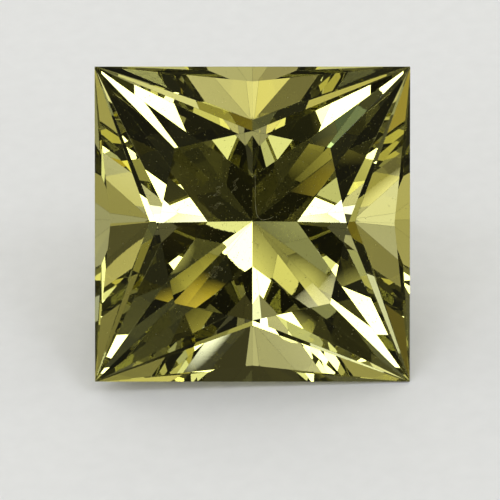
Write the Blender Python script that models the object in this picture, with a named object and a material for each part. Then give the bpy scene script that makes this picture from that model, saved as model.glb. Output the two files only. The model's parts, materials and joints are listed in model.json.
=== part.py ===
"""A square-cut sanidine gem, lying on a facet of its pavilion as a loose stone does.

The gem is one crystal, so it is one solid: a square block cut down by flat facets.
The facets are worked out in the cutter's frame, where +Z is the table's normal, the girdle
lies in the plane Z = 0 and the sides face along X and Y. The finished stone is then turned
so that it rests on the plane Z = 0 of the part's own frame. Lengths are metres, angles degrees.
"""
import math
from typing import NamedTuple

import bmesh
import bpy
from mathutils import Matrix, Vector


class PavilionRow(NamedTuple):
    """One ring of facets below the girdle, measured on a side's mid-line."""

    inner_reach: float  # from the stone's axis to the row's lower end
    slope: float  # how steeply the row drops, from the girdle's plane


GIRDLE_WIDTH = 0.0100
GIRDLE_THICKNESS = 0.00010
CROWN_HEIGHT = 0.00169
TABLE_SIDE_REACH = 0.00296
TABLE_CORNER_REACH = 0.00243
PAVILION_ROWS = (
    PavilionRow(inner_reach=0.00387, slope=61.0),
    PavilionRow(inner_reach=0.00146, slope=55.1),
    PavilionRow(inner_reach=0.0, slope=34.7),
)
RESTING_ROW = 1

ROUGH_HEIGHT = 0.024
CUT_TOLERANCE = 1e-7
GEM_COLOUR = (0.88, 0.86, 0.52, 1.0)
GEM_ROUGHNESS = 0.02
GEM_IOR = 1.525


def clear_scene() -> None:
    """Remove whatever the scene holds."""
    for old in list(bpy.data.objects):
        bpy.data.objects.remove(old, do_unlink=True)


def row_ends() -> list[tuple[Vector, Vector]]:
    """Return each row's upper and lower end, on the mid-line of the side that faces -Y."""
    ends = []
    upper = Vector((0.0, -GIRDLE_WIDTH / 2, -GIRDLE_THICKNESS / 2))
    for row in PAVILION_ROWS:
        run = -upper.y - row.inner_reach
        drop = run * math.tan(math.radians(row.slope))
        lower = Vector((0.0, -row.inner_reach, upper.z - drop))
        ends.append((upper, lower))
        upper = lower
    return ends


def outward_normal(first: Vector, second: Vector, third: Vector) -> Vector:
    """Return the unit normal of the plane through three points, pointing away from the axis."""
    normal = (second - first).cross(third - first).normalized()
    return normal if normal.dot(first) > 0.0 else -normal


def side_facets() -> list[tuple[Vector, Vector]]:
    """Return a point and outward normal of each facet on the right half of the -Y side."""
    half = GIRDLE_WIDTH / 2
    lower_corner = Vector((half, -half, -GIRDLE_THICKNESS / 2))
    upper_corner = Vector((half, -half, GIRDLE_THICKNESS / 2))
    facets = [
        (lower_corner, outward_normal(lower_corner, upper, lower))
        for upper, lower in row_ends()
    ]
    table_height = GIRDLE_THICKNESS / 2 + CROWN_HEIGHT
    side_point = Vector((0.0, -TABLE_SIDE_REACH, table_height))
    corner_point = Vector((TABLE_CORNER_REACH, -TABLE_CORNER_REACH, table_height))
    mirrored_corner = Vector((-half, -half, GIRDLE_THICKNESS / 2))
    facets.append((upper_corner, outward_normal(upper_corner, side_point, corner_point)))
    facets.append((upper_corner, outward_normal(upper_corner, mirrored_corner, side_point)))
    return facets


def cut(stone: bmesh.types.BMesh, point: Vector, normal: Vector) -> None:
    """Grind one flat facet: take off all that lies beyond the plane, and close the stone."""
    whole = stone.verts[:] + stone.edges[:] + stone.faces[:]
    bmesh.ops.bisect_plane(
        stone,
        geom=whole,
        dist=CUT_TOLERANCE,
        plane_co=point,
        plane_no=normal,
        clear_outer=True,
    )
    rim = [edge for edge in stone.edges if edge.is_boundary]
    if rim:
        bmesh.ops.edgeloop_fill(stone, edges=rim)


def cut_gem() -> bpy.types.Mesh:
    """Cut the gem from a square block and return its mesh, in the cutter's frame."""
    stone = bmesh.new()
    block_size = Matrix.Diagonal((GIRDLE_WIDTH, GIRDLE_WIDTH, ROUGH_HEIGHT, 1.0))
    bmesh.ops.create_cube(stone, size=1.0, matrix=block_size)
    table_centre = Vector((0.0, 0.0, GIRDLE_THICKNESS / 2 + CROWN_HEIGHT))
    cut(stone, table_centre, Vector((0.0, 0.0, 1.0)))
    flip = Matrix.Diagonal((-1.0, 1.0, 1.0))
    for point, normal in side_facets():
        for quarter in range(4):
            turn = Matrix.Rotation(math.radians(90.0 * quarter), 3, "Z")
            cut(stone, turn @ point, turn @ normal)
            cut(stone, turn @ flip @ point, turn @ flip @ normal)
    bmesh.ops.remove_doubles(stone, verts=stone.verts[:], dist=CUT_TOLERANCE)
    bmesh.ops.recalc_face_normals(stone, faces=stone.faces[:])
    mesh = bpy.data.meshes.new("sanidine_gem")
    stone.to_mesh(mesh)
    stone.free()
    return mesh


def resting_place(mesh: bpy.types.Mesh) -> Matrix:
    """Return the turn and shift that lay the gem on its resting facet, centred on the origin."""
    facet_normal = side_facets()[RESTING_ROW][1]
    turn = facet_normal.rotation_difference(Vector((0.0, 0.0, -1.0))).to_matrix().to_4x4()
    turned = [turn @ vertex.co for vertex in mesh.vertices]
    shift = Vector((
        -(min(p.x for p in turned) + max(p.x for p in turned)) / 2,
        -(min(p.y for p in turned) + max(p.y for p in turned)) / 2,
        -min(p.z for p in turned),
    ))
    return Matrix.Translation(shift) @ turn


def gem_material() -> bpy.types.Material:
    """Return clear, pale greenish-yellow sanidine."""
    material = bpy.data.materials.new("pale_yellow_sanidine")
    material.use_nodes = True
    shader = material.node_tree.nodes["Principled BSDF"]
    shader.inputs["Base Color"].default_value = GEM_COLOUR
    shader.inputs["Roughness"].default_value = GEM_ROUGHNESS
    shader.inputs["Metallic"].default_value = 0.0
    shader.inputs["IOR"].default_value = GEM_IOR
    shader.inputs["Transmission Weight"].default_value = 1.0
    return material


def main() -> None:
    """Build the gem in a collection of its own."""
    clear_scene()
    collection = bpy.data.collections.new("sanidine")
    bpy.context.scene.collection.children.link(collection)
    mesh = cut_gem()
    mesh.materials.append(gem_material())
    gem = bpy.data.objects.new("sanidine_gem", mesh)
    gem.matrix_world = resting_place(mesh)
    collection.objects.link(gem)


main()
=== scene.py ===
"""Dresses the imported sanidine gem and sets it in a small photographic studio.

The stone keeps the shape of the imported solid. It gets a polished, pale yellow body, a frosted
girdle, hair-thin worn flats where facets meet, and the specks, wisps and thread that grew
inside it.

A faceted stone shows what stands round it, so the lamps stand where the photo's bright facets
look out of the stone. The floor and the background are pale, but the stone itself mirrors and
passes on a dim surround, against which those facets shine.

Lengths are metres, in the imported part's frame. A direction seen from the stone is given in the
cutter's way: its tilt from the table's normal, and its turn about it from the stone's right
towards its upper side, both in degrees.
"""

import json
import logging
import math
from dataclasses import dataclass
from enum import Enum
from typing import NamedTuple

import bmesh
import bpy
from mathutils import Matrix, Vector

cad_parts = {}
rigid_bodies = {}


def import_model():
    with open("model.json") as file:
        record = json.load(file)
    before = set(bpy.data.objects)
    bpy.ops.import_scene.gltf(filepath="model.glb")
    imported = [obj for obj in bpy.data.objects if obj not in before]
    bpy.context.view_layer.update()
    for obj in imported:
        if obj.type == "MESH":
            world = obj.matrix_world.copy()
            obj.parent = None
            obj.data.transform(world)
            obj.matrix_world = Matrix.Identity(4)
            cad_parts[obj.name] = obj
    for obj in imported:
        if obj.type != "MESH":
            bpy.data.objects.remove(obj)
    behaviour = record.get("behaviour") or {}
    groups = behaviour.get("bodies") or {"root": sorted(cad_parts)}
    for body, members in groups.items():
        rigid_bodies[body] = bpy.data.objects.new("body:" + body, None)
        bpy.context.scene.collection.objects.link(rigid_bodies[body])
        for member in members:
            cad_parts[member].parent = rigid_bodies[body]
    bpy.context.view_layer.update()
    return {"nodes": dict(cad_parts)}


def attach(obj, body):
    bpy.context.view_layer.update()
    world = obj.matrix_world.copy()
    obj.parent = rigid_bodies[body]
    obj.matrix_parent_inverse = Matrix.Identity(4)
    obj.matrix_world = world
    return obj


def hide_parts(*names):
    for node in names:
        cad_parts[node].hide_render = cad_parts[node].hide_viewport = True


LOG = logging.getLogger("sanidine_gem")

BODY = "root"
SOLID = "sanidine_gem"

MILLIMETRE = 1e-3
LAMP_DISTANCE = 2.0
PHOTO_SIDE = 500
SENSOR_WIDTH = 36.0


@dataclass(frozen=True)
class CutAxes:
    """Where the cut stone lies: the middle of its girdle and its own directions."""

    centre: Vector
    right: Vector
    upper: Vector
    table: Vector
    half_width: float

    def direction(self, tilt: float, turn: float) -> Vector:
        """Turn the cutter's two angles into a direction.

        Args:
            tilt: degrees from the table's normal.
            turn: degrees about that normal, from the stone's right towards its upper side.

        Returns:
            The unit vector from the stone in that direction.
        """
        lean = math.radians(tilt)
        swing = math.radians(turn)
        across = self.right * math.cos(swing) + self.upper * math.sin(swing)
        return self.table * math.cos(lean) + across * math.sin(lean)

    def angles(self, direction: Vector) -> tuple[float, float]:
        """Turn a direction into the cutter's two angles, the tilt and the turn."""
        swing = math.atan2(direction.dot(self.upper), direction.dot(self.right))
        return math.degrees(direction.angle(self.table)), math.degrees(swing)


def merged_facets(mesh: bpy.types.Mesh) -> bmesh.types.BMesh:
    """Join a mesh of loose triangles into one closed stone with a face for each facet.

    Args:
        mesh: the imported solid's mesh, which is left as it is.

    Returns:
        A new bmesh that the caller frees.
    """
    same_point = 1e-7
    same_facet = math.radians(0.3)
    stone = bmesh.new()
    stone.from_mesh(mesh)
    bmesh.ops.remove_doubles(stone, verts=stone.verts[:], dist=same_point)
    bmesh.ops.dissolve_limit(
        stone, angle_limit=same_facet, verts=stone.verts[:], edges=stone.edges[:]
    )
    stone.normal_update()
    return stone


def is_girdle(normal: Vector, table: Vector) -> bool:
    """Tell whether a facet with this normal is one of the girdle's flats."""
    squareness = 0.01
    return abs(normal.dot(table)) < squareness


def read_axes(stone: bmesh.types.BMesh) -> CutAxes:
    """Find the stone's own directions from its largest facet, the table, and its girdle.

    Args:
        stone: the merged stone.

    Returns:
        The axes of the cut.
    """
    table = max(stone.faces, key=lambda facet: facet.calc_area()).normal.copy()
    girdle = [facet for facet in stone.faces if is_girdle(facet.normal, table)]
    upper = max((facet.normal.copy() for facet in girdle), key=lambda normal: normal.z)
    corners = {vertex for facet in girdle for vertex in facet.verts}
    centre = sum((vertex.co for vertex in corners), Vector()) / len(corners)
    return CutAxes(
        centre=centre,
        right=upper.cross(table).normalized(),
        upper=upper.normalized(),
        table=table,
        half_width=max((vertex.co - centre).dot(upper) for vertex in corners),
    )


@dataclass(frozen=True)
class CrystalFinish:
    """Clear, pale yellow sanidine, with the fine relief that the cutter's wheel leaves on it."""

    name: str
    roughness: float
    relief_size: float
    relief_depth: float
    relief_stretch: float = 1.0
    relief_turn: tuple[float, float, float] = (0.6, 0.3, math.radians(35.0))
    clearness: float = 1.0
    refraction: float = 1.525
    passed_colour: tuple[float, float, float] = (0.96, 0.94, 0.20)
    absorption_density: float = 100.0

    def tint_body(self, tree: bpy.types.NodeTree) -> None:
        """Let the body take up light on its way through, which gives the stone its colour.

        Args:
            tree: the material's node tree, which is changed.
        """
        depth = tree.nodes.new("ShaderNodeVolumeAbsorption")
        depth.inputs["Color"].default_value = (*self.passed_colour, 1.0)
        depth.inputs["Density"].default_value = self.absorption_density
        tree.links.new(depth.outputs["Volume"], tree.nodes["Material Output"].inputs["Volume"])

    def add_relief(self, tree: bpy.types.NodeTree) -> None:
        """Add the fine relief to the surface.

        Args:
            tree: the material's node tree, which is changed.
        """
        nodes = tree.nodes
        links = tree.links
        across = 1.0 / self.relief_size
        along = across / self.relief_stretch
        place = nodes.new("ShaderNodeTexCoord")
        lay = nodes.new("ShaderNodeMapping")
        lay.inputs["Rotation"].default_value = self.relief_turn
        lay.inputs["Scale"].default_value = (along, across, across)
        grain = nodes.new("ShaderNodeTexNoise")
        grain.inputs["Scale"].default_value = 1.0
        relief = nodes.new("ShaderNodeBump")
        relief.inputs["Distance"].default_value = self.relief_depth
        links.new(place.outputs["Object"], lay.inputs["Vector"])
        links.new(lay.outputs["Vector"], grain.inputs["Vector"])
        links.new(grain.outputs["Fac"], relief.inputs["Height"])
        links.new(relief.outputs["Normal"], nodes["Principled BSDF"].inputs["Normal"])

    def material(self) -> bpy.types.Material:
        """Make the material.

        Returns:
            The finish as a material.
        """
        made = bpy.data.materials.new(self.name)
        made.use_nodes = True
        shader = made.node_tree.nodes["Principled BSDF"]
        shader.inputs["Base Color"].default_value = (1.0, 1.0, 1.0, 1.0)
        shader.inputs["Metallic"].default_value = 0.0
        shader.inputs["Roughness"].default_value = self.roughness
        shader.inputs["IOR"].default_value = self.refraction
        shader.inputs["Transmission Weight"].default_value = self.clearness
        self.tint_body(made.node_tree)
        self.add_relief(made.node_tree)
        return made


POLISHED = CrystalFinish("polished_sanidine", 0.0, 120e-6, 12e-9, relief_stretch=40.0)
GROUND = CrystalFinish("ground_sanidine", 0.45, 30e-6, 2e-6, clearness=0.35)
WORN = CrystalFinish("worn_sanidine", 0.2, 60e-6, 1e-6)


def mottle(
    tree: bpy.types.NodeTree,
    patch_size: float,
    dark: tuple[float, float, float],
    light: tuple[float, float, float],
) -> bpy.types.Node:
    """Colour a material in soft patches, between a dark shade and a light one.

    Args:
        tree: the material's node tree, which is changed.
        patch_size: how wide a patch is, in metres.
        dark: the dark shade's red, green and blue.
        light: the light shade's red, green and blue.

    Returns:
        The noise that the patches follow.
    """
    nodes = tree.nodes
    links = tree.links
    place = nodes.new("ShaderNodeTexCoord")
    patches = nodes.new("ShaderNodeTexNoise")
    patches.inputs["Scale"].default_value = 1.0 / patch_size
    shades = nodes.new("ShaderNodeValToRGB")
    shades.color_ramp.elements[0].color = (*dark, 1.0)
    shades.color_ramp.elements[1].color = (*light, 1.0)
    links.new(place.outputs["Object"], patches.inputs["Vector"])
    links.new(patches.outputs["Fac"], shades.inputs["Fac"])
    links.new(shades.outputs["Color"], nodes["Principled BSDF"].inputs["Base Color"])
    return patches


@dataclass(frozen=True)
class PaleMineral:
    """The tiny white crystals that the gem grew round."""

    name: str = "pinpoint_mineral"
    roughness: float = 0.6
    dark: tuple[float, float, float] = (0.62, 0.58, 0.42)
    light: tuple[float, float, float] = (0.95, 0.94, 0.86)
    patch_size: float = 0.4e-3

    def material(self) -> bpy.types.Material:
        """Make the material.

        Returns:
            The finish as a material.
        """
        made = bpy.data.materials.new(self.name)
        made.use_nodes = True
        shader = made.node_tree.nodes["Principled BSDF"]
        shader.inputs["Roughness"].default_value = self.roughness
        mottle(made.node_tree, self.patch_size, self.dark, self.light)
        return made


class Facet(Enum):
    """The finishes of the stone's faces, by their place in its material list."""

    POLISHED = 0
    GIRDLE = 1
    JUNCTION = 2


@dataclass
class Gem:
    """The cut stone: its polished facets, its girdle and the worn junctions between them."""

    solid: bpy.types.Object
    junction_width: float = 6e-6

    def wear_junctions(self, stone: bmesh.types.BMesh) -> None:
        """Take the sharp edge off every junction between two facets.

        Args:
            stone: the merged stone, which is changed.
        """
        smallest_step = 1e-9
        cuts = []
        for junction in stone.edges:
            first, second = (facet.normal for facet in junction.link_faces)
            outward = (first + second).normalized()
            half_angle = first.angle(second) / 2
            depth = self.junction_width / 2 * math.tan(half_angle)
            middle = (junction.verts[0].co + junction.verts[1].co) / 2
            cuts.append((middle - outward * depth, outward))
        for point, outward in cuts:
            bmesh.ops.bisect_plane(
                stone,
                geom=stone.verts[:] + stone.edges[:] + stone.faces[:],
                dist=smallest_step,
                plane_co=point,
                plane_no=outward,
                clear_outer=True,
            )
            rim = [edge for edge in stone.edges if edge.is_boundary]
            for facet in bmesh.ops.edgeloop_fill(stone, edges=rim)["faces"]:
                facet.material_index = Facet.JUNCTION.value
        bmesh.ops.recalc_face_normals(stone, faces=stone.faces[:])

    def build(self) -> tuple[bpy.types.Object, CutAxes]:
        """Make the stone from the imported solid.

        Returns:
            The stone's object, and the axes of its cut.
        """
        stone = merged_facets(self.solid.data)
        axes = read_axes(stone)
        for facet in stone.faces:
            on_girdle = is_girdle(facet.normal, axes.table)
            facet.material_index = (Facet.GIRDLE if on_girdle else Facet.POLISHED).value
            facet.smooth = False
        self.wear_junctions(stone)
        mesh = bpy.data.meshes.new("cut_stone")
        stone.to_mesh(mesh)
        stone.free()
        for finish in (POLISHED, GROUND, WORN):
            mesh.materials.append(finish.material())
        piece = bpy.data.objects.new("cut_stone", mesh)
        bpy.context.scene.collection.objects.link(piece)
        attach(piece, BODY)
        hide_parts(SOLID)
        return piece, axes


@dataclass(frozen=True)
class PalePaper:
    """The smooth pale card that the stone lies on."""

    name: str = "pale_card"
    roughness: float = 0.8
    dark: tuple[float, float, float] = (0.76, 0.76, 0.76)
    light: tuple[float, float, float] = (0.82, 0.82, 0.82)
    fibre_size: float = 0.6e-3
    fibre_depth: float = 8e-6
    fibre_detail: float = 4.0

    def material(self) -> bpy.types.Material:
        """Make the material.

        Returns:
            The finish as a material.
        """
        made = bpy.data.materials.new(self.name)
        made.use_nodes = True
        nodes = made.node_tree.nodes
        links = made.node_tree.links
        shader = nodes["Principled BSDF"]
        shader.inputs["Roughness"].default_value = self.roughness
        fibres = mottle(made.node_tree, self.fibre_size, self.dark, self.light)
        fibres.inputs["Detail"].default_value = self.fibre_detail
        relief = nodes.new("ShaderNodeBump")
        relief.inputs["Distance"].default_value = self.fibre_depth
        links.new(fibres.outputs["Fac"], relief.inputs["Height"])
        links.new(relief.outputs["Normal"], shader.inputs["Normal"])
        return made


def open_tree(
    name: str, inputs: dict[str, str]
) -> tuple[bpy.types.NodeTree, bpy.types.Node, dict[str, str]]:
    """Begin a node tree that takes a mesh and some values, and gives back a mesh.

    Args:
        name: the tree's name.
        inputs: the type of each value's socket, by the value's name.

    Returns:
        The tree, the node that hands in its inputs, and the identifier of each value's socket.
    """
    tree = bpy.data.node_groups.new(name, "GeometryNodeTree")
    face = tree.interface
    face.new_socket("Geometry", in_out="INPUT", socket_type="NodeSocketGeometry")
    sockets = {
        value: face.new_socket(value, in_out="INPUT", socket_type=kind).identifier
        for value, kind in inputs.items()
    }
    face.new_socket("Geometry", in_out="OUTPUT", socket_type="NodeSocketGeometry")
    return tree, tree.nodes.new("NodeGroupInput"), sockets


def close_tree(
    tree: bpy.types.NodeTree, given: bpy.types.Node, grown: bpy.types.NodeSocket
) -> None:
    """End a node tree: make what has grown plain mesh, and give it its mineral.

    Args:
        tree: the node tree, which is changed.
        given: the node that hands in its inputs, the mineral among them.
        grown: the output with what has grown.
    """
    nodes = tree.nodes
    links = tree.links
    real = nodes.new("GeometryNodeRealizeInstances")
    finish = nodes.new("GeometryNodeSetMaterial")
    done = nodes.new("NodeGroupOutput")
    links.new(grown, real.inputs["Geometry"])
    links.new(real.outputs["Geometry"], finish.inputs["Geometry"])
    links.new(given.outputs["Mineral"], finish.inputs["Material"])
    links.new(finish.outputs["Geometry"], done.inputs["Geometry"])


class Source(Enum):
    """What a scatter of specks fills: a closed body, or a thin sheet."""

    BODY = "body"
    SHEET = "sheet"


@dataclass(frozen=True)
class Scatter:
    """A node tree that strews tiny round crystals, thinned out into drifts."""

    source: Source
    voxels_across: float = 48.0
    drift_detail: float = 1.0
    speck_subdivisions: int = 1

    def spread_points(
        self, tree: bpy.types.NodeTree, given: bpy.types.Node
    ) -> bpy.types.NodeSocket:
        """Add the nodes that spread points through the body or over the sheet.

        Args:
            tree: the node tree, which is changed.
            given: the node that hands in its inputs.

        Returns:
            The output with the points.
        """
        nodes = tree.nodes
        links = tree.links
        if self.source is Source.BODY:
            fog = nodes.new("GeometryNodeMeshToVolume")
            fog.resolution_mode = "VOXEL_AMOUNT"
            fog.inputs["Voxel Amount"].default_value = self.voxels_across
            points = nodes.new("GeometryNodeDistributePointsInVolume")
            points.mode = "DENSITY_RANDOM"
            links.new(given.outputs["Geometry"], fog.inputs["Mesh"])
            links.new(fog.outputs["Volume"], points.inputs["Volume"])
        else:
            points = nodes.new("GeometryNodeDistributePointsOnFaces")
            links.new(given.outputs["Geometry"], points.inputs["Mesh"])
        links.new(given.outputs["Density"], points.inputs["Density"])
        links.new(given.outputs["Seed"], points.inputs["Seed"])
        return points.outputs["Points"]

    def keep_drifts(
        self, tree: bpy.types.NodeTree, given: bpy.types.Node, points: bpy.types.NodeSocket
    ) -> bpy.types.NodeSocket:
        """Add the nodes that clear the points away between the drifts.

        Args:
            tree: the node tree, which is changed.
            given: the node that hands in its inputs.
            points: the output with all the points.

        Returns:
            The output with the points that stay.
        """
        nodes = tree.nodes
        links = tree.links
        drift_scale = nodes.new("ShaderNodeMath")
        drift_scale.operation = "DIVIDE"
        drift_scale.inputs[0].default_value = 1.0
        place = nodes.new("GeometryNodeInputPosition")
        drifts = nodes.new("ShaderNodeTexNoise")
        drifts.inputs["Detail"].default_value = self.drift_detail
        clear = nodes.new("FunctionNodeCompare")
        clear.operation = "LESS_THAN"
        thinned = nodes.new("GeometryNodeDeleteGeometry")
        links.new(given.outputs["Drift size"], drift_scale.inputs[1])
        links.new(place.outputs["Position"], drifts.inputs["Vector"])
        links.new(drift_scale.outputs["Value"], drifts.inputs["Scale"])
        links.new(drifts.outputs["Fac"], clear.inputs["A"])
        links.new(given.outputs["Drift edge"], clear.inputs["B"])
        links.new(points, thinned.inputs["Geometry"])
        links.new(clear.outputs["Result"], thinned.inputs["Selection"])
        return thinned.outputs["Geometry"]

    def draw_radius(
        self, tree: bpy.types.NodeTree, given: bpy.types.Node
    ) -> bpy.types.NodeSocket:
        """Add the nodes that draw each speck's radius, so that large ones are rare.

        Args:
            tree: the node tree, which is changed.
            given: the node that hands in its inputs.

        Returns:
            The output with the radius.
        """
        nodes = tree.nodes
        links = tree.links
        chance = nodes.new("FunctionNodeRandomValue")
        chance.data_type = "FLOAT"
        skew = nodes.new("ShaderNodeMath")
        skew.operation = "POWER"
        size = nodes.new("ShaderNodeMapRange")
        links.new(given.outputs["Seed"], chance.inputs["Seed"])
        links.new(chance.outputs["Value"], skew.inputs[0])
        links.new(given.outputs["Rarity of large ones"], skew.inputs[1])
        links.new(skew.outputs["Value"], size.inputs["Value"])
        links.new(given.outputs["Smallest radius"], size.inputs["To Min"])
        links.new(given.outputs["Largest radius"], size.inputs["To Max"])
        return size.outputs["Result"]

    def tree(self) -> tuple[bpy.types.NodeTree, dict[str, str]]:
        """Build the tree.

        Returns:
            The tree, and the identifier of each of its named inputs.
        """
        inputs = {
            "Density": "NodeSocketFloat",
            "Smallest radius": "NodeSocketFloat",
            "Largest radius": "NodeSocketFloat",
            "Rarity of large ones": "NodeSocketFloat",
            "Drift size": "NodeSocketFloat",
            "Drift edge": "NodeSocketFloat",
            "Seed": "NodeSocketInt",
            "Mineral": "NodeSocketMaterial",
        }
        tree, given, sockets = open_tree(f"strew_over_{self.source.value}", inputs)
        points = self.keep_drifts(tree, given, self.spread_points(tree, given))
        radius = self.draw_radius(tree, given)
        speck = tree.nodes.new("GeometryNodeMeshIcoSphere")
        speck.inputs["Radius"].default_value = 1.0
        speck.inputs["Subdivisions"].default_value = self.speck_subdivisions
        strewn = tree.nodes.new("GeometryNodeInstanceOnPoints")
        tree.links.new(points, strewn.inputs["Points"])
        tree.links.new(speck.outputs["Mesh"], strewn.inputs["Instance"])
        tree.links.new(radius, strewn.inputs["Scale"])
        close_tree(tree, given, strewn.outputs["Instances"])
        return tree, sockets


def grow(
    name: str, ground: bpy.types.Mesh, tree: bpy.types.NodeTree, values: dict[str, object]
) -> bpy.types.Object:
    """Run a node tree on a mesh once, and keep what it makes as a plain piece.

    Args:
        name: the piece's name.
        ground: the mesh that the tree works on.
        tree: the node tree.
        values: each input's value, by the identifier of its socket.

    Returns:
        The piece, riding on the stone's body.
    """
    piece = bpy.data.objects.new(name, ground)
    bpy.context.scene.collection.objects.link(piece)
    growth = piece.modifiers.new("growth", "NODES")
    growth.node_group = tree
    for socket, value in values.items():
        growth[socket] = value
    made = bpy.data.meshes.new_from_object(
        piece.evaluated_get(bpy.context.evaluated_depsgraph_get())
    )
    piece.modifiers.remove(growth)
    piece.data = made
    bpy.data.meshes.remove(ground)
    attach(piece, BODY)
    return piece


@dataclass(frozen=True)
class Specks:
    """How many specks a scatter has, how large they are, and how they gather in drifts.

    Their density is counted per cubic metre of a body, or per square metre of a sheet.
    """

    density: float
    smallest: float
    largest: float
    rarity_of_large_ones: float
    drift_size: float
    drift_edge: float
    seed: int

    def values(self, sockets: dict[str, str], mineral: bpy.types.Material) -> dict[str, object]:
        """List what the scatter's node tree is given.

        Args:
            sockets: the identifier of each of the tree's named inputs.
            mineral: the specks' finish.

        Returns:
            Each input's value, by the identifier of its socket.
        """
        return {
            sockets["Density"]: self.density,
            sockets["Smallest radius"]: self.smallest,
            sockets["Largest radius"]: self.largest,
            sockets["Rarity of large ones"]: self.rarity_of_large_ones,
            sockets["Drift size"]: self.drift_size,
            sockets["Drift edge"]: self.drift_edge,
            sockets["Seed"]: self.seed,
            sockets["Mineral"]: mineral,
        }


@dataclass
class Pinpoints:
    """Specks of another mineral that the crystal grew round, in loose drifts."""

    axes: CutAxes
    clear_rind: float = 0.06
    specks: Specks = Specks(
        density=20e9,
        smallest=3.5e-6,
        largest=18e-6,
        rarity_of_large_ones=3.0,
        drift_size=1.6e-3,
        drift_edge=0.48,
        seed=7,
    )

    def build(self, stone: bpy.types.Object, mineral: bpy.types.Material) -> bpy.types.Object:
        """Strew the specks inside the stone.

        Args:
            stone: the finished stone.
            mineral: the specks' finish.

        Returns:
            The specks, as one mesh.
        """
        core = stone.data.copy()
        shrink = (
            Matrix.Translation(self.axes.centre)
            @ Matrix.Scale(1.0 - self.clear_rind, 4)
            @ Matrix.Translation(-self.axes.centre)
        )
        core.transform(shrink)
        tree, sockets = Scatter(Source.BODY).tree()
        return grow("pinpoints", core, tree, self.specks.values(sockets, mineral))


class Wisp(NamedTuple):
    """One milky wisp: its middle, its size and its lean, in millimetres and degrees."""

    right: float
    upper: float
    above_girdle: float
    length: float
    width: float
    lean: float


@dataclass
class Wisps:
    """Small healed cracks, each a wavy sheet of very fine specks."""

    axes: CutAxes
    places: tuple[Wisp, ...] = (
        Wisp(-1.08, 1.08, 0.6, 0.42, 0.16, 60.0),
        Wisp(-1.12, 0.62, 0.5, 0.46, 0.15, 22.0),
        Wisp(-0.55, 1.25, 0.1, 0.50, 0.12, 75.0),
        Wisp(0.10, -0.55, 0.8, 0.40, 0.14, 120.0),
        Wisp(-1.20, -1.50, -0.2, 0.60, 0.30, 35.0),
    )
    steps: int = 8
    end_width: float = 0.2
    ripple: float = 0.05
    ripple_rate: float = 9.0
    specks: Specks = Specks(
        density=4.5e9,
        smallest=2.5e-6,
        largest=6e-6,
        rarity_of_large_ones=2.0,
        drift_size=0.09e-3,
        drift_edge=0.44,
        seed=3,
    )

    def sheets(self) -> bpy.types.Mesh:
        """Build the wavy sheets that the specks lie on.

        Returns:
            All the sheets, as one mesh.
        """
        sheets = bmesh.new()
        for wisp in self.places:
            swing = math.radians(wisp.lean)
            along = self.axes.right * math.cos(swing) + self.axes.upper * math.sin(swing)
            across = self.axes.table.cross(along)
            middle = (
                self.axes.centre
                + self.axes.right * wisp.right * MILLIMETRE
                + self.axes.upper * wisp.upper * MILLIMETRE
                + self.axes.table * wisp.above_girdle * MILLIMETRE
            )
            rows = []
            for step in range(self.steps + 1):
                part = step / self.steps - 0.5
                taper = math.cos(part * math.pi) * (1.0 - self.end_width) + self.end_width
                wave = math.sin(part * self.ripple_rate) * self.ripple
                row = [
                    sheets.verts.new(
                        middle
                        + along * part * wisp.length * MILLIMETRE
                        + across * (side * taper * wisp.width / 2 + wave) * MILLIMETRE
                        + self.axes.table * side * self.ripple * MILLIMETRE
                    )
                    for side in (-1.0, 1.0)
                ]
                rows.append(row)
            for first, second in zip(rows, rows[1:]):
                sheets.faces.new((first[0], first[1], second[1], second[0]))
        mesh = bpy.data.meshes.new("wisp_sheets")
        sheets.to_mesh(mesh)
        sheets.free()
        return mesh

    def build(self, mineral: bpy.types.Material) -> bpy.types.Object:
        """Strew the fine specks over the sheets.

        Args:
            mineral: the specks' finish.

        Returns:
            The specks, as one mesh.
        """
        tree, sockets = Scatter(Source.SHEET).tree()
        return grow("wisps", self.sheets(), tree, self.specks.values(sockets, mineral))


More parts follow.
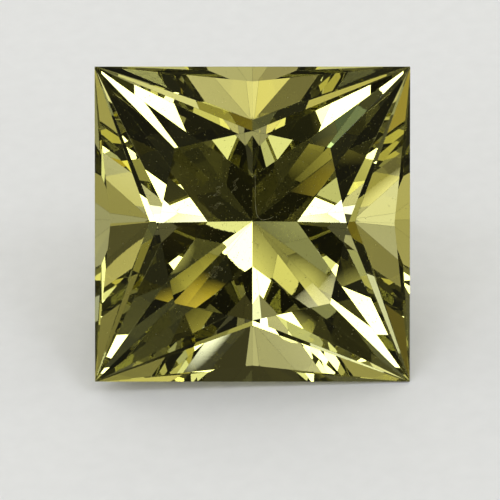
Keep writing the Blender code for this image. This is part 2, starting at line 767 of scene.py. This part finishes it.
@dataclass
class GrowthThread:
    """A hair-fine growth tube that runs down the stone's middle and curls at its lower end.

    Its course is a row of points, in millimetres to the right and upwards from the middle.
    """

    axes: CutAxes
    thickness: float = 12e-6
    sides: int = 6
    smoothness: int = 48
    height: float = 0.9e-3
    course: tuple[tuple[float, float], ...] = (
        (0.08, 1.62),
        (0.09, 1.20),
        (0.09, 0.80),
        (0.11, 0.48),
        (0.17, 0.28),
        (0.30, 0.18),
        (0.50, 0.20),
        (0.66, 0.28),
    )

    def tree(self) -> tuple[bpy.types.NodeTree, dict[str, str]]:
        """Build the node tree that lays a thin tube along a line.

        Returns:
            The tree, and the identifier of each of its named inputs.
        """
        inputs = {
            "Radius": "NodeSocketFloat",
            "Smoothness": "NodeSocketInt",
            "Mineral": "NodeSocketMaterial",
        }
        tree, given, sockets = open_tree("tube_along_line", inputs)
        nodes = tree.nodes
        links = tree.links
        line = nodes.new("GeometryNodeMeshToCurve")
        curved = nodes.new("GeometryNodeCurveSplineType")
        curved.spline_type = "CATMULL_ROM"
        fine = nodes.new("GeometryNodeResampleCurve")
        ring = nodes.new("GeometryNodeCurvePrimitiveCircle")
        ring.inputs["Resolution"].default_value = self.sides
        tube = nodes.new("GeometryNodeCurveToMesh")
        tube.inputs["Fill Caps"].default_value = True
        links.new(given.outputs["Geometry"], line.inputs["Mesh"])
        links.new(line.outputs["Curve"], curved.inputs["Curve"])
        links.new(curved.outputs["Curve"], fine.inputs["Curve"])
        links.new(given.outputs["Smoothness"], fine.inputs["Count"])
        links.new(given.outputs["Radius"], ring.inputs["Radius"])
        links.new(fine.outputs["Curve"], tube.inputs["Curve"])
        links.new(ring.outputs["Curve"], tube.inputs["Profile Curve"])
        close_tree(tree, given, tube.outputs["Mesh"])
        return tree, sockets

    def build(self, mineral: bpy.types.Material) -> bpy.types.Object:
        """Lay the thread in the stone.

        Args:
            mineral: what fills the thread.

        Returns:
            The thread, as one mesh.
        """
        points = [
            self.axes.centre
            + self.axes.right * right * MILLIMETRE
            + self.axes.upper * upper * MILLIMETRE
            + self.axes.table * self.height
            for right, upper in self.course
        ]
        line = bpy.data.meshes.new("thread_line")
        line.from_pydata(points, [(place, place + 1) for place in range(len(points) - 1)], [])
        tree, sockets = self.tree()
        values = {
            sockets["Radius"]: self.thickness / 2,
            sockets["Smoothness"]: self.smoothness,
            sockets["Mineral"]: mineral,
        }
        return grow("growth_thread", line, tree, values)


class Glow(Enum):
    """The colours of light that the lamps' gels give, as red, green and blue."""

    WHITE = (0.88, 0.92, 1.0)
    PALE = (1.0, 0.98, 0.72)
    WARM = (1.0, 0.92, 0.40)
    AMBER = (1.0, 0.79, 0.16)
    COOL = (0.60, 0.82, 1.0)


class Lamp(NamedTuple):
    """A round lamp: where the stone sees it, how large in degrees, and how bright it looks.

    A faded lamp is brightest in its middle and dims evenly to nothing at its rim.
    """

    tilt: float
    turn: float
    angular_radius: float
    brightness: float
    glow: Glow = Glow.WHITE
    faded: bool = False

    def hang(self, name: str, axes: CutAxes) -> None:
        """Place the lamp, turned towards the stone.

        Args:
            name: the lamp's name.
            axes: the stone's axes.
        """
        rim = math.radians(self.angular_radius)
        radius = LAMP_DISTANCE * math.tan(rim)
        light = bpy.data.lights.new(name, "AREA")
        light.shape = "DISK"
        light.size = 2.0 * radius
        light.color = self.glow.value
        light.energy = self.brightness * math.pi * math.pi * radius**2
        if self.faded:
            light.spread = 2.0 * rim
            light.energy *= 1.0 - rim / math.tan(rim)
        made = bpy.data.objects.new(name, light)
        away = axes.direction(self.tilt, self.turn)
        made.location = axes.centre + away * LAMP_DISTANCE
        made.rotation_mode = "QUATERNION"
        made.rotation_quaternion = away.to_track_quat("Z", "Y")
        made.visible_camera = False
        bpy.context.scene.collection.objects.link(made)


# The groups up to "back" light the facets of the photo's view, and the petals are the dark
# star's arms. "fill" and "accent" are there mostly for the stone's other sides: broad soft
# cards, and small bright lamps, many of them in a card's middle.
LAMPS: dict[str, tuple[Lamp, ...]] = {
    "key": (
        Lamp(44, 46, 7.7, 4),
        Lamp(44, 124, 4, 4.5),
        Lamp(64, 128, 4, 1),
        Lamp(62, 149, 3, 1.6),
        Lamp(61, 51, 2, 4),
        Lamp(49.2, 136.9, 0.7, 4.5),
        Lamp(50.7, 134.3, 0.5, 1.2, Glow.COOL),
        Lamp(50.2, 134.9, 0.7, 0.22, Glow.COOL),
        Lamp(51, 142, 1.5, 4),
        Lamp(41, 27, 2.5, 4.5),
        Lamp(37, 38, 1.5, 0.6),
        Lamp(46, 138, 7, 0.05),
    ),
    "side": (
        Lamp(75, 158, 5, 3.5),
        Lamp(75, 22, 4, 3.5),
        Lamp(101, -174, 2.6, 2.5),
        Lamp(101, -6, 2.6, 2.5),
        Lamp(104, 170, 1.5, 2),
        Lamp(104, 10, 1.5, 2),
        Lamp(65, 54, 2, 0.24, Glow.WARM),
    ),
    "low": (
        Lamp(23.5, -147, 2, 4.5),
        Lamp(23.5, -33, 2, 4.5),
        Lamp(22, 164, 1.2, 4.5),
        Lamp(22, 16, 1.2, 4.5),
        Lamp(22, -10, 0.8, 3),
        Lamp(50, -25, 4, 0.95),
        Lamp(50, -155, 4, 1),
        Lamp(52, -117, 2.5, 0.6),
        Lamp(69, -142, 4, 0.65, Glow.WARM),
        Lamp(69, -38, 4, 0.8, Glow.PALE),
        Lamp(28, -9, 1.5, 1.6),
        Lamp(27, -43.5, 1.2, 0.1),
        Lamp(26.9, -138, 1, 0.15, Glow.AMBER),
        Lamp(14.8, -167, 0.8, 1, Glow.PALE),
        Lamp(52, -54, 11, 0.03),
        Lamp(50, -141, 2, 0.12),
    ),
    "near_axis": (
        Lamp(25, 126, 1.5, 4.5),
        Lamp(25, 47, 1.3, 4.5),
        Lamp(22, 81, 1.2, 4.5),
        Lamp(19.2, 80.5, 0.9, 0.65),
        Lamp(25, 132.5, 1, 0.4, Glow.PALE),
        Lamp(18, 57.5, 0.8, 4.5),
        Lamp(14, 49, 0.8, 3),
        Lamp(10, 84, 0.8, 3.5),
        Lamp(13, -2, 0.7, 4.5),
        Lamp(10, 161, 1.4, 0.5, Glow.WARM),
        Lamp(10, 19, 1.4, 0.5, Glow.WARM),
        Lamp(18.6, 163, 1, 0.47, Glow.PALE),
        Lamp(18.5, 17, 0.9, 0.27, Glow.PALE),
        Lamp(17, -173.5, 1, 0.45),
        Lamp(16, -148, 1, 0.3, Glow.WARM),
        Lamp(16, -50, 1.2, 0.2, Glow.WARM),
        Lamp(16, -104, 1.4, 0.7, Glow.PALE),
        Lamp(19, -76, 1.5, 0.65),
        Lamp(7.5, -70, 1.2, 0.42, Glow.WARM),
        Lamp(5, 10, 1.2, 0.02),
        Lamp(16.4, 85, 0.9, 0.15, Glow.COOL),
        Lamp(10, -40, 12, 0.01),
    ),
    "right_petal": (
        Lamp(18.6, 108.9, 1.5, 1.35, Glow.PALE, faded=True),
        Lamp(19.7, 167, 1.8, 0.56, faded=True),
        Lamp(4.6, 171, 0.8, 0.28),
        Lamp(3.4, 131, 0.9, 0.78, Glow.PALE),
        Lamp(6.6, 70.9, 0.8, 1.15, Glow.PALE, faded=True),
        Lamp(9.9, -155.3, 1.3, 1.25, Glow.PALE, faded=True),
        Lamp(15, 139, 2.1, 0.25, Glow.PALE),
    ),
    "left_petal": (
        Lamp(18.3, 74.8, 1.08, 4),
        Lamp(15.3, 36.5, 0.8, 3.2),
        Lamp(15.5, 45.5, 0.85, 4),
        Lamp(17.8, 39.6, 0.8, 4),
        Lamp(19.2, 10.7, 1, 1.05),
        Lamp(6.4, 107.1, 1.35, 0.85, Glow.WARM, faded=True),
        Lamp(4.7, 44.5, 0.95, 1.5, Glow.AMBER, faded=True),
        Lamp(9.6, -24, 0.62, 0.9, Glow.AMBER, faded=True),
        Lamp(4.8, 17.6, 0.6, 1, Glow.PALE, faded=True),
        Lamp(17.4, 36, 1.4, 0.26, Glow.PALE),
    ),
    "upper_petal": (
        Lamp(1.9, -134.6, 0.9, 0.32, Glow.AMBER, faded=True),
        Lamp(7.35, 145.8, 1.25, 0.4, Glow.WARM, faded=True),
        Lamp(3.2, -147.3, 1.2, 0.24, faded=True),
        Lamp(9.4, -54.5, 1.4, 0.42, Glow.WARM, faded=True),
    ),
    "under": (
        Lamp(104, -61, 8, 0.36, Glow.WARM),
        Lamp(111, -74, 4.5, 0.58, Glow.WARM),
        Lamp(111, -106, 4.5, 0.52, Glow.WARM),
        Lamp(109, -114, 4, 0.82, Glow.WARM),
        Lamp(101, -121, 3.5, 0.22, Glow.WARM),
        Lamp(95.5, -121.4, 1.5, 1.1, Glow.WARM),
        Lamp(126, -64, 6, 0.18, Glow.WARM),
        Lamp(126, -116, 6, 0.12, Glow.AMBER),
        Lamp(93, -37, 5, 0.85, Glow.PALE),
        Lamp(93, -144, 5, 0.25, Glow.WARM),
        Lamp(93.5, -142.5, 2, 2.2, Glow.PALE, faded=True),
        Lamp(89, -144, 2.5, 0.9, Glow.PALE),
        Lamp(89, -46, 3, 0.4, Glow.WARM),
        Lamp(89, -134, 3, 0.36, Glow.AMBER),
    ),
    "left": (
        Lamp(108, -157, 7, 0.85, Glow.PALE),
        Lamp(110, 167, 5, 0.85, Glow.PALE),
        Lamp(125, -154, 7, 0.5, Glow.WARM),
        Lamp(126, 159, 6, 0.4, Glow.WARM),
        Lamp(101, 151, 3.5, 0.3, Glow.WARM),
        Lamp(95, 150, 2, 0.5, Glow.PALE),
        Lamp(107, 158, 3.5, 0.48, Glow.PALE),
    ),
    "right": (
        Lamp(106, -22, 6, 0.34, Glow.WARM),
        Lamp(121, -31, 5, 0.33, Glow.WARM),
        Lamp(110, 15, 4, 0.36, Glow.PALE),
        Lamp(104, 26, 8, 0.08, Glow.WARM),
        Lamp(101.6, 28.6, 1.2, 0.5, Glow.WARM),
        Lamp(86, 27, 3, 0.7, Glow.WARM),
    ),
    "back": (
        Lamp(93, 124, 6, 0.8, Glow.PALE),
        Lamp(106, 112, 8, 0.42, Glow.PALE),
        Lamp(108, 74, 3, 0.5, Glow.PALE),
        Lamp(99, 92.5, 2, 1.2),
        Lamp(99, 98, 2, 0.13, Glow.PALE),
        Lamp(89, 137, 3.2, 0.35, Glow.WARM),
        Lamp(85, 132.5, 2, 0.12, Glow.AMBER),
        Lamp(86, 45, 5, 0.22, Glow.WARM),
        Lamp(95, 56, 5, 0.08, Glow.PALE),
        Lamp(96.5, 56, 1.4, 6, faded=True),
        Lamp(118, 90, 28, 0.04, Glow.WARM),
        Lamp(136, 136, 6, 0.85, Glow.PALE),
        Lamp(137, 47, 4, 0.4, Glow.AMBER),
    ),
    "fill": (
        Lamp(165, 170, 35, 0.45, Glow.PALE),
        Lamp(117, -74, 34, 0.32, Glow.PALE),
        Lamp(77, 180, 32, 0.08, Glow.PALE),
        Lamp(72, -5, 32, 0.08, Glow.PALE),
        Lamp(76, 106, 26, 0.08, Glow.PALE),
        Lamp(62, -102, 26, 0.07, Glow.PALE),
        Lamp(134, 5, 23, 0.36, Glow.PALE),
        Lamp(117, 136, 16, 0.25, Glow.PALE),
        Lamp(38, 87, 17, 0.15, Glow.PALE),
        Lamp(120, -131, 17, 0.22, Glow.PALE),
        Lamp(39, 89, 11, 0.6, Glow.PALE),
        Lamp(74, 103, 9.5, 0.55, Glow.PALE),
        Lamp(76, 77, 9.5, 0.55, Glow.PALE),
        Lamp(116, 39, 13, 0.6, Glow.PALE),
        Lamp(115, 142, 14, 0.5, Glow.PALE),
        Lamp(122, -2, 15, 0.5, Glow.PALE),
        Lamp(137, -177, 15, 0.6, Glow.PALE),
        Lamp(148, 92, 20, 0.5, Glow.PALE),
        Lamp(88, -158, 11, 0.6, Glow.PALE),
        Lamp(90, -21, 11, 0.6, Glow.PALE),
        Lamp(121, -92, 13, 0.4, Glow.PALE),
        Lamp(71, 175, 8.5, 0.6, Glow.PALE),
        Lamp(71, 5, 8.5, 0.6, Glow.PALE),
        Lamp(75, 43, 8, 0.6, Glow.PALE),
        Lamp(76, 137, 8, 0.6, Glow.PALE),
    ),
    "accent": (
        Lamp(39, 89, 3, 4),
        Lamp(74, 103, 2.5, 4),
        Lamp(75, 43, 2.5, 4),
        Lamp(36, 175, 2.5, 4),
        Lamp(33, 3, 2.5, 4),
        Lamp(33, 51, 2, 4),
        Lamp(45, -164, 3, 4),
        Lamp(58, -30, 3, 3),
        Lamp(116, 39, 3, 4),
        Lamp(115, 142, 3, 4),
        Lamp(122, -2, 5, 3),
        Lamp(137, -177, 5, 3),
        Lamp(148, 92, 6, 2.5),
        Lamp(88, -158, 4, 3),
        Lamp(90, -21, 4, 3),
        Lamp(121, -92, 5, 3),
    ),
}


@dataclass
class Studio:
    """The floor, the lamps and what lies beyond them."""

    axes: CutAxes
    floor_radius: float = 0.5
    floor_sides: int = 96
    dim_surround: float = 0.006
    pale_surround: float = 0.68

    def build_floor(self) -> None:
        """Make the pale floor, which the stone neither mirrors nor shows through itself."""
        disc = bmesh.new()
        bmesh.ops.create_circle(
            disc, cap_ends=True, segments=self.floor_sides, radius=self.floor_radius
        )
        mesh = bpy.data.meshes.new("studio_floor")
        disc.to_mesh(mesh)
        disc.free()
        mesh.materials.append(PalePaper().material())
        floor = bpy.data.objects.new("studio_floor", mesh)
        bpy.context.scene.collection.objects.link(floor)
        floor.visible_transmission = False
        floor.visible_glossy = False

    def build_world(self) -> None:
        """Make the surround: pale round the set, and dim where the stone looks out of it."""
        world = bpy.data.worlds.new("studio_surround")
        world.use_nodes = True
        nodes = world.node_tree.nodes
        links = world.node_tree.links
        path = nodes.new("ShaderNodeLightPath")
        through_stone = nodes.new("ShaderNodeMath")
        through_stone.operation = "MAXIMUM"
        links.new(path.outputs["Is Glossy Ray"], through_stone.inputs[0])
        links.new(path.outputs["Is Transmission Ray"], through_stone.inputs[1])
        surround = nodes["Background"]
        strength = nodes.new("ShaderNodeMapRange")
        strength.inputs["To Min"].default_value = self.pale_surround
        strength.inputs["To Max"].default_value = self.dim_surround
        links.new(through_stone.outputs["Value"], strength.inputs["Value"])
        links.new(strength.outputs["Result"], surround.inputs["Strength"])
        surround.inputs["Color"].default_value = (1.0, 1.0, 1.0, 1.0)
        bpy.context.scene.world = world

    def build(self) -> None:
        """Make the floor, the lamps and the surround."""
        self.build_floor()
        for group, lamps in LAMPS.items():
            for number, lamp in enumerate(lamps, start=1):
                lamp.hang(f"{group}_{number}", self.axes)
        self.build_world()


@dataclass
class PhotoCamera:
    """The camera, at the photo's viewing angle and framing.

    The stone's centre is a pixel of the photo, and the lift is in degrees above the table's
    normal.
    """

    axes: CutAxes
    stone_centre: tuple[float, float] = (252.4, 224.3)
    half_width_pixels: float = 157.5
    half_widths_away: float = 21.7
    lift: float = 1.6
    nearest: float = 0.005
    farthest: float = 5.0

    def build(self) -> bpy.types.Object:
        """Place the camera and make it the scene's.

        Returns:
            The camera's object.
        """
        axes = self.axes
        away = axes.direction(self.lift, 90.0)
        upward = (axes.upper - away * axes.upper.dot(away)).normalized()
        across = upward.cross(away)
        pixel = axes.half_width / self.half_width_pixels
        middle = PHOTO_SIDE / 2
        aim = (
            axes.centre
            + across * (middle - self.stone_centre[0]) * pixel
            + upward * (self.stone_centre[1] - middle) * pixel
        )
        distance = self.half_widths_away * axes.half_width
        lens = bpy.data.cameras.new("photo_camera")
        lens.sensor_width = SENSOR_WIDTH
        lens.lens = SENSOR_WIDTH * self.half_width_pixels * self.half_widths_away / PHOTO_SIDE
        lens.clip_start = self.nearest
        lens.clip_end = self.farthest
        camera = bpy.data.objects.new("photo_camera", lens)
        camera.location = axes.centre + away * distance
        back = (camera.location - aim).normalized()
        side = upward.cross(back).normalized()
        camera.rotation_mode = "QUATERNION"
        columns = Matrix((side, back.cross(side), back)).transposed()
        camera.rotation_quaternion = columns.to_quaternion()
        bpy.context.scene.collection.objects.link(camera)
        bpy.context.scene.camera = camera
        return camera


def bent(heading: Vector, normal: Vector, ratio: float) -> Vector | None:
    """Bend a ray of light where it passes a facet.

    Args:
        heading: the ray's unit direction.
        normal: the facet's unit normal, on the side that the ray comes from.
        ratio: the refractive index on that side, divided by the one on the far side.

    Returns:
        The unit direction past the facet, or None where the facet reflects all the light.
    """
    cosine = -heading.dot(normal)
    past = 1.0 - ratio**2 * (1.0 - cosine**2)
    if past < 0.0:
        return None
    return heading * ratio + normal * (ratio * cosine - math.sqrt(past))


class Plane(NamedTuple):
    """The plane of a facet: a point on it, and its unit normal, which points outwards."""

    point: Vector
    normal: Vector

    def reach(self, start: Vector, heading: Vector) -> float:
        """Return how far a ray runs from its start to this plane."""
        return (self.point - start).dot(self.normal) / heading.dot(self.normal)


def entered(planes: list[Plane], start: Vector, heading: Vector) -> Plane:
    """Find the facet by which a ray from outside enters the stone.

    Args:
        planes: the planes of all the facets.
        start: where the ray starts.
        heading: the ray's unit direction.

    Returns:
        The plane, of those that the ray faces, that it reaches last.
    """
    facing = [plane for plane in planes if heading.dot(plane.normal) < 0.0]
    return max(facing, key=lambda plane: plane.reach(start, heading))


def met(planes: list[Plane], start: Vector, heading: Vector) -> Plane:
    """Find the facet that a ray inside the stone meets next.

    Args:
        planes: the planes of all the facets.
        start: where the ray starts.
        heading: the ray's unit direction.

    Returns:
        The plane, of those that the ray runs out through, that it reaches first.
    """
    grazing = 1e-6
    ahead = [plane for plane in planes if heading.dot(plane.normal) > grazing]
    return min(ahead, key=lambda plane: plane.reach(start, heading))


class Shine(Enum):
    """How brightly a small facet shines in the photo, as the brightness of its lamp."""

    BRIGHT = 3.5
    CLEAR = 1.0
    SOFT = 0.5


class Spark(NamedTuple):
    """A small facet that shines in the photo: its pixel there, its shine and its colour."""

    across: float
    down: float
    shine: Shine
    glow: Glow = Glow.WHITE


SPARKS = (
    Spark(328, 369, Shine.BRIGHT),
    Spark(335, 270, Shine.BRIGHT),
    Spark(315, 351, Shine.BRIGHT),
    Spark(264, 322, Shine.BRIGHT),
    Spark(311, 377, Shine.BRIGHT),
    Spark(179, 379, Shine.BRIGHT, Glow.PALE),
    Spark(169, 99, Shine.BRIGHT),
    Spark(309, 352, Shine.BRIGHT),
    Spark(157, 218, Shine.BRIGHT),
    Spark(105, 370, Shine.BRIGHT),
    Spark(407, 287, Shine.BRIGHT),
    Spark(105, 150, Shine.BRIGHT),
    Spark(103, 168, Shine.CLEAR),
    Spark(184, 367, Shine.CLEAR),
    Spark(108, 293, Shine.CLEAR),
    Spark(201, 376, Shine.CLEAR),
    Spark(304, 376, Shine.CLEAR),
    Spark(284, 322, Shine.CLEAR),
    Spark(194, 377, Shine.CLEAR),
    Spark(281, 124, Shine.CLEAR, Glow.PALE),
    Spark(224, 124, Shine.CLEAR, Glow.PALE),
    Spark(127, 165, Shine.CLEAR, Glow.WARM),
    Spark(98, 305, Shine.SOFT),
    Spark(112, 155, Shine.SOFT),
    Spark(182, 358, Shine.SOFT),
    Spark(164, 370, Shine.SOFT, Glow.PALE),
    Spark(341, 370, Shine.SOFT, Glow.PALE),
    Spark(367, 282, Shine.SOFT, Glow.PALE),
    Spark(100, 313, Shine.SOFT, Glow.PALE),
    Spark(177, 369, Shine.SOFT, Glow.PALE),
    Spark(392, 147, Shine.SOFT, Glow.WARM),
    Spark(392, 155, Shine.SOFT, Glow.WARM),
    Spark(324, 84, Shine.SOFT, Glow.WARM),
    Spark(190, 351, Shine.SOFT, Glow.WARM),
    Spark(119, 162, Shine.SOFT, Glow.AMBER),
)


@dataclass
class SparkLamps:
    """Small lamps, each hung where one small shining facet of the photo looks out of the stone."""

    axes: CutAxes
    solid: bpy.types.Object
    camera: bpy.types.Object
    angular_radius: float = 0.45
    most_turns: int = 20

    def sight_line(self, spark: Spark) -> Vector:
        """Look through the camera at a spark.

        Args:
            spark: the spark.

        Returns:
            The unit direction from the camera to the spark's pixel.
        """
        middle = PHOTO_SIDE / 2
        pixel = SENSOR_WIDTH / PHOTO_SIDE
        across = (spark.across - middle) * pixel
        up = (middle - spark.down) * pixel
        line = Vector((across, up, -self.camera.data.lens))
        return (self.camera.rotation_quaternion @ line).normalized()

    def way_out(self, planes: list[Plane], heading: Vector) -> Vector | None:
        """Follow a sight line into the stone, from facet to facet, and out again.

        Args:
            planes: the planes of all the facets.
            heading: the sight line's unit direction.

        Returns:
            The unit direction in which the line leaves, or None if it stays inside.
        """
        eye = self.camera.location
        facet = entered(planes, eye, heading)
        spot = eye + heading * facet.reach(eye, heading)
        inside = bent(heading, facet.normal, 1.0 / POLISHED.refraction)
        for _ in range(self.most_turns):
            facet = met(planes, spot, inside)
            spot = spot + inside * facet.reach(spot, inside)
            outside = bent(inside, -facet.normal, POLISHED.refraction)
            if outside is not None:
                return outside
            inside = inside.reflect(facet.normal)
        return None

    def build(self) -> None:
        """Hang the lamps."""
        stone = merged_facets(self.solid.data)
        planes = [Plane(facet.verts[0].co.copy(), facet.normal.copy()) for facet in stone.faces]
        stone.free()
        for number, spark in enumerate(SPARKS, start=1):
            away = self.way_out(planes, self.sight_line(spark))
            if away is None:
                LOG.warning("spark %d stays inside the stone", number)
                continue
            tilt, turn = self.axes.angles(away)
            LOG.info("spark %d: tilt %.1f, turn %.1f", number, tilt, turn)
            lamp = Lamp(tilt, turn, self.angular_radius, spark.shine.value, spark.glow)
            lamp.hang(f"spark_{number}", self.axes)


def set_light_paths() -> None:
    """Let light turn often enough inside the stone, and keep the lamps' colours as they are."""
    scene = bpy.context.scene
    turns = 32
    scene.cycles.max_bounces = turns
    scene.cycles.glossy_bounces = turns
    scene.cycles.transmission_bounces = turns
    scene.view_settings.view_transform = "Standard"


def main() -> None:
    """Build the gem, its studio and the camera."""
    logging.basicConfig(level=logging.INFO, format="%(message)s")
    for old in list(bpy.data.objects):
        bpy.data.objects.remove(old, do_unlink=True)
    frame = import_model()
    solid = frame["nodes"][SOLID]
    stone, axes = Gem(solid).build()
    LOG.info("%s: %d facets", stone.name, len(stone.data.polygons))
    mineral = PaleMineral().material()
    for inclusion in (
        Pinpoints(axes).build(stone, mineral),
        Wisps(axes).build(mineral),
        GrowthThread(axes).build(mineral),
    ):
        LOG.info("%s: %d faces", inclusion.name, len(inclusion.data.polygons))
    Studio(axes).build()
    camera = PhotoCamera(axes).build()
    SparkLamps(axes, solid, camera).build()
    set_light_paths()


if __name__ == "__main__":
    main()
